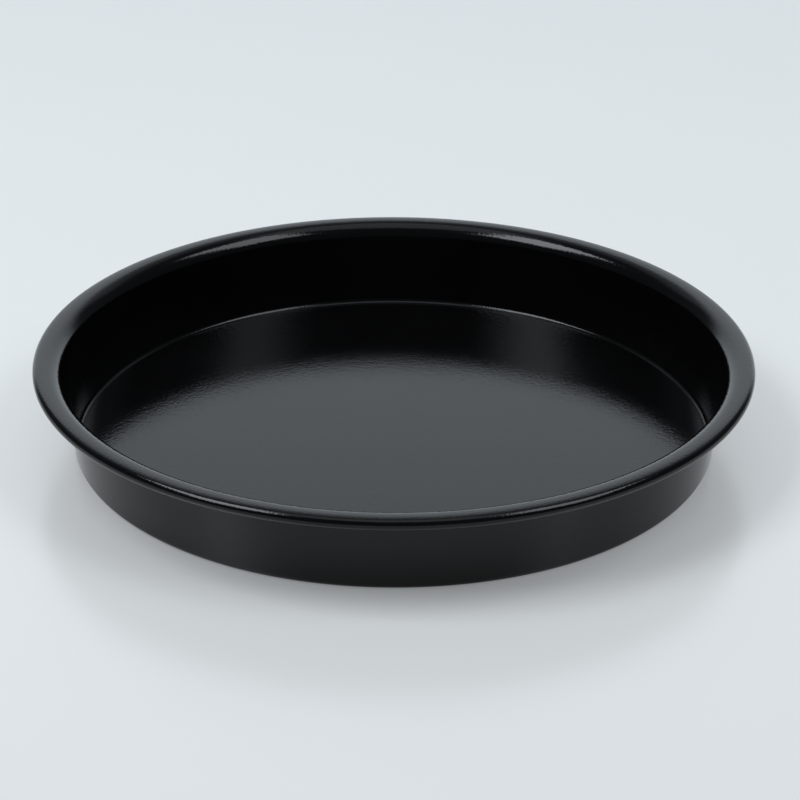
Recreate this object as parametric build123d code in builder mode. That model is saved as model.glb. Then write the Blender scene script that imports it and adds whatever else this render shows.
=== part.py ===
from build123d import *
from build123d.topology import SkipClean
from math import acos, cos, degrees, radians, sin, tan
import os

# Deep round pizza pan, pressed from one steel sheet, with its edge rolled round a wire hoop.
# Millimetres, +Z up. The origin is the middle of the flat underside, on the table.

# The pressed sheet
rim_diameter = 300.0
rim_height = 38.0
floor_diameter = 267.0
sheet = 0.7
wall_flare = 7.5
corner_radius = 2.0
lip_radius = 8.0
flange_rise = 8.0

# The rolled edge and the wire hoop in it
wire_diameter = 3.0
wire_clearance = 0.1
edge_gap = 0.2
hoop_gap = 1.0

# The middle line of the sheet lies half a sheet inside either skin
half_sheet = sheet / 2
corner_bend = corner_radius + half_sheet
lip_bend = lip_radius - half_sheet
curl_inside = wire_diameter / 2 + wire_clearance
curl_bend = curl_inside + half_sheet
bead_radius = curl_inside + sheet

# The bead touches the overall diameter and the overall height
bead_x = rim_diameter / 2 - bead_radius
bead_z = rim_height - bead_radius

# The wall leaves the floor at its foot, and the flange runs up to the top of the bead
slope_in = tan(radians(wall_flare))
slope_out = tan(radians(flange_rise))
foot_x = floor_diameter / 2 + half_sheet * (1 / cos(radians(wall_flare)) - slope_in)
foot_z = half_sheet
end_x = bead_x - curl_bend * sin(radians(flange_rise))
end_z = bead_z + curl_bend * cos(radians(flange_rise))
shoulder_x = (foot_x + (end_z - end_x * slope_out - foot_z) * slope_in) / (1 - slope_out * slope_in)
shoulder_z = end_z - (end_x - shoulder_x) * slope_out

# The sheet turns about the wire until its free edge is just short of the flange again
curl_turn = 360 - degrees(acos((curl_inside - edge_gap) / bead_radius))


# Half pan: the floor, the wall, the lip, the flange and the curl are one sheet of even thickness
with BuildPart() as half_pan:
    with BuildSketch(Plane.XZ):
        with BuildLine():
            dish = FilletPolyline(
                (0, foot_z),
                (foot_x, foot_z),
                (shoulder_x, shoulder_z),
                (end_x, end_z),
                radius=(corner_bend, lip_bend),
            )
            JernArc(dish @ 1, dish % 1, radius=curl_bend, arc_size=-curl_turn)
        trace(line_width=sheet)
    revolve(axis=Axis.Z, revolution_arc=180)


# Pan: two half turns of that sheet, whose faces stay apart so that facets come out even all round
with SkipClean():
    with BuildPart() as pan:
        add(half_pan.part)
        add(half_pan.part, rotation=(0, 0, 180), clean=False)
pan.part.label = "pan"


# Rim wire: a hoop cut from straight wire, whose two ends nearly meet
with BuildPart() as rim_wire:
    with BuildSketch(Plane.XZ):
        with Locations((bead_x, bead_z)):
            Circle(wire_diameter / 2)
    revolve(axis=Axis.Z, revolution_arc=360 - degrees(hoop_gap / bead_x))
rim_wire.part.label = "rim_wire"


os.makedirs("parts", exist_ok=True)
export_step(pan.part, "parts/pan.step")
export_step(rim_wire.part, "parts/rim_wire.step")
print("free edge of the sheet turned", round(curl_turn, 1), "degrees about the wire")
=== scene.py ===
import bpy
from math import acos, ceil, cos, degrees, hypot, pi, radians, sin, tan
from mathutils import Matrix, Quaternion, Vector


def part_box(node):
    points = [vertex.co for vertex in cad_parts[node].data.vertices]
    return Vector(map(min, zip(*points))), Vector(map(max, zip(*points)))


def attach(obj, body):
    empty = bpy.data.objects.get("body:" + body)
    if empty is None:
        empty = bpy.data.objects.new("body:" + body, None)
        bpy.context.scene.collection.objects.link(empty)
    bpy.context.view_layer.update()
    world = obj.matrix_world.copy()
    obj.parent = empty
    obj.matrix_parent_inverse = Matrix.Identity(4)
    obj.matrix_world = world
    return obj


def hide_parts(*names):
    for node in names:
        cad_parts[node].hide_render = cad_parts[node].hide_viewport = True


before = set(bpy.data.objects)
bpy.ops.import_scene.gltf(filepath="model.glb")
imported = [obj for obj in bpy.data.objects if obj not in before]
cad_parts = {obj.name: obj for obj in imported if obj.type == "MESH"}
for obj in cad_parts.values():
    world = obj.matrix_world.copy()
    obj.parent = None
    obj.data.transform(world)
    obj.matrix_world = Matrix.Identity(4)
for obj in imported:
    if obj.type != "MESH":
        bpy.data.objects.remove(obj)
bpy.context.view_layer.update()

# Metres, +Z up, the pan standing on the table at Z = 0. Angles are in degrees, colours are linear.
MM = 0.001

# The camera, as fitted to the photo
PICTURE = 800
FOCAL_PIXELS = 2499.6
SENSOR = 36.0
CAMERA_DISTANCE = 1.0612
CAMERA_ELEVATION = 26.671
CAMERA_PAN = 0.140
CAMERA_TILT = 0.688
CAMERA_ROLL = 0.194

# The pressed sheet: the rim's radius and height come from the frame
lowest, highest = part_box("pan")
RIM_RADIUS = highest.x
RIM_HEIGHT = highest.z
FLOOR_RADIUS = 133.5 * MM
SHEET = 0.7 * MM
WALL_FLARE = 7.5
CORNER_RADIUS = 2.0 * MM
LIP_RADIUS = 6.9 * MM
CROWN_RADIUS = 15.0 * MM
CROWN_RISE = 5.0
CROWN_FALL = 8.0
CURL_INSIDE = 1.6 * MM
EDGE_GAP = 0.2 * MM

# How finely the sheet is drawn
ROUND_STEPS = 480
BEND_STEP = 6.0
FLOOR_RINGS = 12
SHARP_ANGLE = 50.0

# The coating: two tones and two roughnesses that it wanders between, and its orange peel
COAT_PATCH = 40 * MM
COAT_TONES = ((0.0012, 0.0012, 0.0014), (0.0028, 0.0028, 0.0030))
COAT_ROUGHNESS = (0.105, 0.13)
COAT_IOR = 1.38
PEEL_GRAIN = 1.3 * MM
PEEL_DEPTH = 0.06 * MM

# The wire
WIRE_PATCH = 6 * MM
WIRE_TONES = ((0.42, 0.42, 0.43), (0.6, 0.6, 0.61))
WIRE_ROUGHNESS = (0.3, 0.42)

# The table, and how far it glows by itself, as a backlit sheet does
TABLE_WIDTH = 8
TABLE_TONE = (0.575, 0.575, 0.57)
TABLE_PATCH = 60 * MM
TABLE_ROUGHNESS = (0.24, 0.26)
TABLE_IOR = 1.8
TABLE_GLOW = 0.21
TABLE_GLOW_TONE = (0.9, 0.93, 0.95)

# Where a patch of noise begins and where it is full
PATCH_EDGE = (0.3, 0.7)

# The studio's brightness: the sweep behind the pan, the wall above it, the rest of the room and the ceiling
SKY_SWEEP = 1.06
SKY_WALL = 0.36
SKY_ROOM = 0.08
SKY_TOP = 0.85
SKY_TINT = (0.91, 1.0, 1.07)

# Where each of them begins and where it is full: the Y (depth) or Z (height) of the direction to it
SWEEP_DEPTH = (0.73, 0.86)
WALL_DEPTH = (0.4, 0.65)
WALL_HEIGHT = (0.5, 0.6)
TOP_HEIGHT = (0.88, 0.96)

# The two softboxes mirror each other. Azimuth 0 is behind the camera and 90 is at the right.
SOFTBOX_DISTANCE = 1.5
SOFTBOX_AZIMUTH = 74
SOFTBOX_ELEVATION = 55
SOFTBOX_ROLL = 30
SOFTBOX_WIDTH = 1.0
SOFTBOX_HEIGHT = 0.62
SOFTBOX_TINT = (0.95, 1.0, 1.04)
KEY_POWER = 12.3
FILL_POWER = 6.9


def make_camera():
    """The photo's camera: aimed at the middle of the pan, then panned, tilted and rolled a little."""
    elevation = radians(CAMERA_ELEVATION)
    place = Vector((0, -CAMERA_DISTANCE * cos(elevation), CAMERA_DISTANCE * sin(elevation)))
    right = Vector((1, 0, 0))
    up = right.cross(-place.normalized())
    ahead = (-place.normalized() + radians(CAMERA_PAN) * right + radians(CAMERA_TILT) * up).normalized()
    right = (right - right.dot(ahead) * ahead).normalized()
    up = right.cross(ahead)
    roll = radians(CAMERA_ROLL)
    axis_x = cos(roll) * right + sin(roll) * up
    axis_y = cos(roll) * up - sin(roll) * right
    turn = Matrix((axis_x, axis_y, -ahead)).transposed().to_4x4()
    data = bpy.data.cameras.new("camera")
    data.sensor_width = SENSOR
    data.lens = FOCAL_PIXELS * SENSOR / PICTURE
    camera = bpy.data.objects.new("camera", data)
    camera.matrix_world = Matrix.Translation(place) @ turn
    bpy.context.scene.collection.objects.link(camera)
    bpy.context.scene.camera = camera


def run(line, length, steps=1):
    """Lengthens a line of (radius, height, heading) points straight on."""
    radius, height, heading = line[-1]
    for step in range(1, steps + 1):
        gone = length * step / steps
        line.append((radius + gone * cos(heading), height + gone * sin(heading), heading))


def bend(line, turn_radius, angle):
    """Lengthens the line by an arc. A positive angle turns left, a negative one right."""
    radius, height, heading = line[-1]
    side = 1 if angle > 0 else -1
    steps = ceil(abs(degrees(angle)) / BEND_STEP) + 1
    for step in range(1, steps + 1):
        now = heading + angle * step / steps
        line.append((
            radius + side * turn_radius * (sin(now) - sin(heading)),
            height - side * turn_radius * (cos(now) - cos(heading)),
            now,
        ))


def sheet_outline():
    """The sheet's closed outline as (radius, height), from the axis out to its free edge and back."""
    half = SHEET / 2
    flare, rise, fall = radians(WALL_FLARE), radians(CROWN_RISE), radians(CROWN_FALL)
    corner_bend, lip_bend, crown_bend = CORNER_RADIUS + half, LIP_RADIUS - half, CROWN_RADIUS - half
    curl_bend, bead_radius = CURL_INSIDE + half, CURL_INSIDE + SHEET

    crown_x = RIM_RADIUS - bead_radius - (crown_bend - curl_bend) * sin(fall)
    crown_z = RIM_HEIGHT - CROWN_RADIUS
    end_x, end_z = crown_x - crown_bend * sin(rise), crown_z + crown_bend * cos(rise)
    foot_x = FLOOR_RADIUS + half * (1 / cos(flare) - tan(flare))
    shoulder_x = (foot_x + (end_z - end_x * tan(rise) - half) * tan(flare)) / (1 - tan(rise) * tan(flare))
    shoulder_z = end_z - (end_x - shoulder_x) * tan(rise)

    corner_turn = pi / 2 - flare
    lip_turn = pi / 2 - flare - rise
    corner_share = corner_bend * tan(corner_turn / 2)
    lip_share = lip_bend * tan(lip_turn / 2)
    curl_turn = 2 * pi - acos((CURL_INSIDE - EDGE_GAP) / bead_radius)

    line = [(0.0, half, 0.0)]
    run(line, foot_x - corner_share, FLOOR_RINGS)
    bend(line, corner_bend, corner_turn)
    run(line, hypot(shoulder_x - foot_x, shoulder_z - half) - corner_share - lip_share)
    bend(line, lip_bend, -lip_turn)
    run(line, hypot(end_x - shoulder_x, end_z - shoulder_z) - lip_share)
    bend(line, crown_bend, -rise - fall)
    bend(line, curl_bend, -curl_turn)
    below = [(radius + half * sin(heading), height - half * cos(heading)) for radius, height, heading in line]
    above = [(radius - half * sin(heading), height + half * cos(heading)) for radius, height, heading in line]
    return below + above[::-1]


def lathe(name, outline):
    """A mesh turned about Z from an outline whose first and last points lie on the axis."""
    turned = outline[1:-1]
    rings = len(turned)
    places = []
    for step in range(ROUND_STEPS):
        angle = 2 * pi * step / ROUND_STEPS
        places += [(radius * cos(angle), radius * sin(angle), height) for radius, height in turned]
    low_pole, high_pole = len(places), len(places) + 1
    places += [(0, 0, outline[0][1]), (0, 0, outline[-1][1])]
    faces = []
    for step in range(ROUND_STEPS):
        here, there = step * rings, (step + 1) % ROUND_STEPS * rings
        faces.append((low_pole, there, here))
        faces += [(here + ring, there + ring, there + ring + 1, here + ring + 1) for ring in range(rings - 1)]
        faces.append((here + rings - 1, there + rings - 1, high_pole))
    mesh = bpy.data.meshes.new(name)
    mesh.from_pydata(places, [], faces)
    mesh.validate()
    mesh.shade_smooth()
    mesh.set_sharp_from_angle(angle=radians(SHARP_ANGLE))
    piece = bpy.data.objects.new(name, mesh)
    bpy.context.scene.collection.objects.link(piece)
    return piece


def make_pan():
    """The pressed sheet with its coating, in place of the CAD one."""
    pan = lathe("pan_sheet", sheet_outline())
    pan.data.materials.append(coat())
    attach(pan, "root")
    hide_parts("pan")


def new_material(name):
    """A new material with its nodes and links."""
    material = bpy.data.materials.new(name)
    material.use_nodes = True
    return material, material.node_tree.nodes, material.node_tree.links


def noise(nodes, links, size):
    """Noise whose grains are about as wide as the size."""
    coordinate = nodes.new("ShaderNodeTexCoord")
    node = nodes.new("ShaderNodeTexNoise")
    node.inputs["Scale"].default_value = 1 / size
    links.new(coordinate.outputs["Object"], node.inputs["Vector"])
    return node.outputs[0]


def ramp(nodes, links, source, edge, values):
    """A smooth change from the first value or socket to the second, while the source crosses the edge."""
    node = nodes.new("ShaderNodeMapRange")
    node.interpolation_type = "SMOOTHSTEP"
    node.inputs["From Min"].default_value = edge[0]
    node.inputs["From Max"].default_value = edge[1]
    for name, value in zip(("To Min", "To Max"), values):
        if isinstance(value, float):
            node.inputs[name].default_value = value
        else:
            links.new(value, node.inputs[name])
    links.new(source, node.inputs["Value"])
    return node.outputs[0]


def arithmetic(nodes, links, operation, first, second):
    """Two sockets, or a socket and a number, put together."""
    node = nodes.new("ShaderNodeMath")
    node.operation = operation
    links.new(first, node.inputs[0])
    if isinstance(second, float):
        node.inputs[1].default_value = second
    else:
        links.new(second, node.inputs[1])
    return node.outputs[0]


def patchy(nodes, links, shader, size, tones, roughness):
    """Gives a surface patches of about the size, which differ a little in tone and roughness."""
    patches = noise(nodes, links, size)
    tone = nodes.new("ShaderNodeMix")
    tone.data_type = "RGBA"
    tone.inputs["A"].default_value = (*tones[0], 1.0)
    tone.inputs["B"].default_value = (*tones[1], 1.0)
    links.new(patches, tone.inputs["Factor"])
    links.new(tone.outputs["Result"], shader.inputs["Base Color"])
    links.new(ramp(nodes, links, patches, PATCH_EDGE, roughness), shader.inputs["Roughness"])


def coat():
    """Black non-stick coating: satin gloss over a fine orange peel, a little uneven from place to place."""
    material, nodes, links = new_material("coated_sheet")
    shader = nodes["Principled BSDF"]
    patchy(nodes, links, shader, COAT_PATCH, COAT_TONES, COAT_ROUGHNESS)
    shader.inputs["IOR"].default_value = COAT_IOR
    peel = nodes.new("ShaderNodeBump")
    peel.inputs["Strength"].default_value = 1.0
    peel.inputs["Distance"].default_value = PEEL_DEPTH
    links.new(noise(nodes, links, PEEL_GRAIN), peel.inputs["Height"])
    links.new(peel.outputs[0], shader.inputs["Normal"])
    return material


def steel():
    """The hoop's drawn wire: plain grey steel with faint darker patches."""
    material, nodes, links = new_material("wire")
    shader = nodes["Principled BSDF"]
    patchy(nodes, links, shader, WIRE_PATCH, WIRE_TONES, WIRE_ROUGHNESS)
    shader.inputs["Metallic"].default_value = 1.0
    return material


def make_table():
    """A pale, smooth table top. Its glow is seen by the camera and in reflections, and lights nothing."""
    bpy.ops.mesh.primitive_plane_add(size=TABLE_WIDTH)
    floor = bpy.context.object
    floor.name = "table"
    material, nodes, links = new_material("table")
    shader = nodes["Principled BSDF"]
    shader.inputs["Base Color"].default_value = (*TABLE_TONE, 1.0)
    patches = noise(nodes, links, TABLE_PATCH)
    links.new(ramp(nodes, links, patches, PATCH_EDGE, TABLE_ROUGHNESS), shader.inputs["Roughness"])
    shader.inputs["IOR"].default_value = TABLE_IOR
    shader.inputs["Emission Color"].default_value = (*TABLE_GLOW_TONE, 1.0)
    rays = nodes.new("ShaderNodeLightPath").outputs
    mirrored = arithmetic(nodes, links, "MAXIMUM", rays["Is Glossy Ray"], rays["Is Transmission Ray"])
    seen = arithmetic(nodes, links, "MAXIMUM", rays["Is Camera Ray"], mirrored)
    links.new(arithmetic(nodes, links, "MULTIPLY", seen, TABLE_GLOW), shader.inputs["Emission Strength"])
    floor.data.materials.append(material)


def make_studio():
    """The room round the pan: a pale sweep behind it, and dimmer on the other sides and overhead."""
    studio = bpy.data.worlds.new("studio")
    studio.use_nodes = True
    nodes, links = studio.node_tree.nodes, studio.node_tree.links
    background = nodes["Background"]
    background.inputs["Color"].default_value = (*SKY_TINT, 1.0)
    coordinate = nodes.new("ShaderNodeTexCoord")
    direction = nodes.new("ShaderNodeSeparateXYZ")
    links.new(coordinate.outputs["Generated"], direction.inputs[0])
    depth, height = direction.outputs["Y"], direction.outputs["Z"]
    wall = ramp(nodes, links, height, WALL_HEIGHT, (SKY_ROOM, SKY_WALL))
    around = ramp(nodes, links, depth, WALL_DEPTH, (SKY_ROOM, wall))
    swept = ramp(nodes, links, depth, SWEEP_DEPTH, (around, SKY_SWEEP))
    links.new(ramp(nodes, links, height, TOP_HEIGHT, (swept, SKY_TOP)), background.inputs["Strength"])
    bpy.context.scene.world = studio


def make_softbox(name, side, power):
    """A softbox that faces the pan, at its left (side -1) or at its right (side 1)."""
    data = bpy.data.lights.new(name, "AREA")
    data.shape = "RECTANGLE"
    data.size = SOFTBOX_WIDTH
    data.size_y = SOFTBOX_HEIGHT
    data.energy = power
    data.color = SOFTBOX_TINT
    azimuth, elevation = radians(side * SOFTBOX_AZIMUTH), radians(SOFTBOX_ELEVATION)
    across, along, up = sin(azimuth) * cos(elevation), -cos(azimuth) * cos(elevation), sin(elevation)
    place = SOFTBOX_DISTANCE * Vector((across, along, up))
    facing = (-place).to_track_quat("-Z", "Y")
    roll = Quaternion((0, 0, 1), radians(side * SOFTBOX_ROLL))
    light = bpy.data.objects.new(name, data)
    light.location = place
    light.rotation_euler = (facing @ roll).to_euler()
    bpy.context.scene.collection.objects.link(light)


make_camera()
make_pan()
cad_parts["rim_wire"].material_slots[0].material = steel()
make_table()
make_studio()
make_softbox("key", -1, KEY_POWER)
make_softbox("fill", 1, FILL_POWER)
bpy.context.scene.view_settings.view_transform = "Standard"
